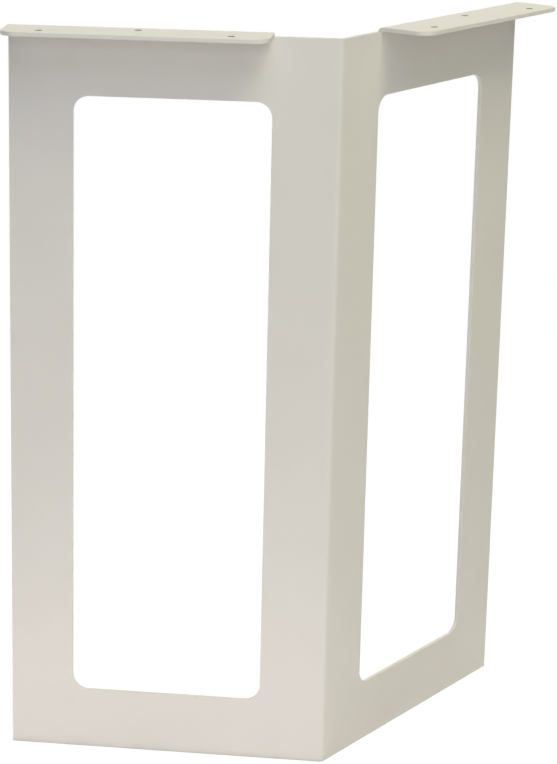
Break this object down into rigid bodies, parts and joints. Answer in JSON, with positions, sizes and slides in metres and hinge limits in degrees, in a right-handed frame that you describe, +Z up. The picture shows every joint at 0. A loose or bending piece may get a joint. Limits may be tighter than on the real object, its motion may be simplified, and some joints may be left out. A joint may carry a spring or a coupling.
{
  "type": "table leg",
  "caption": "Boomerang table leg folded from one steel sheet: a wide upright V with a tall window in each wing and outward top flanges with screw holes for a table top.",
  "frame": {"origin": "middle of the leg's footprint on the floor", "axes": "+Z up to the table top, +Y along the bisector of the V towards its open side, +X from the left wing to the right wing"},
  "size_m": [0.569, 0.163, 0.71],
  "materials": {
    "powder_coat": "satin cream powder coat with a fine orange-peel texture over steel sheet"
  },
  "bodies": {
    "root": {"boomerang_leg": "powder_coat"}
  },
  "joints": []
}
